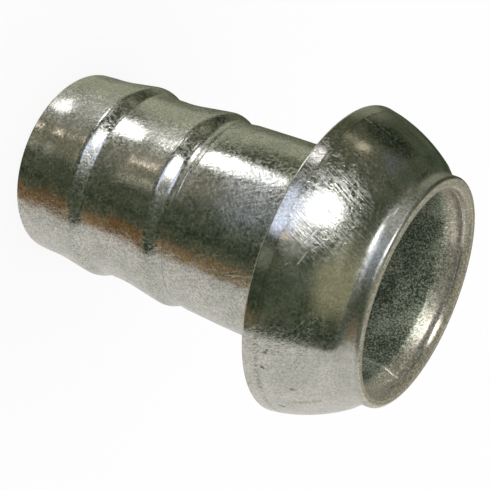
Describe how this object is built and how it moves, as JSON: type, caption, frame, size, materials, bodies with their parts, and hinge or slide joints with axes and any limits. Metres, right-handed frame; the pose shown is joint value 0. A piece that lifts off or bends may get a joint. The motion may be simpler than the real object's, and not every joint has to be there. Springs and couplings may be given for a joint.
{
  "type": "irrigation hose coupling",
  "caption": "Ball half of a quick irrigation coupling: a pressed ball head with a sealing collar, welded to a barbed steel hose shank, galvanised all over.",
  "frame": {"origin": "centre of the shank's tail end, which the coupling stands on", "axes": "+Z along the water way, from the tail of the shank to the mouth of the ball head; +X is the side that lay nearest the table in the picture"},
  "size_m": [0.1171, 0.1172, 0.155],
  "materials": {
    "galvanised_sheet": "hot-dip galvanised, bright, lightly scratched",
    "galvanised_tube": "hot-dip galvanised, bright outside, dull and grainy in the bore",
    "galvanised_weld": "weld bead under hot-dip galvanising"
  },
  "bodies": {
    "root": {"ball_head": "galvanised_sheet", "hose_shank": "galvanised_tube", "mouth_weld": "galvanised_weld"}
  },
  "joints": []
}
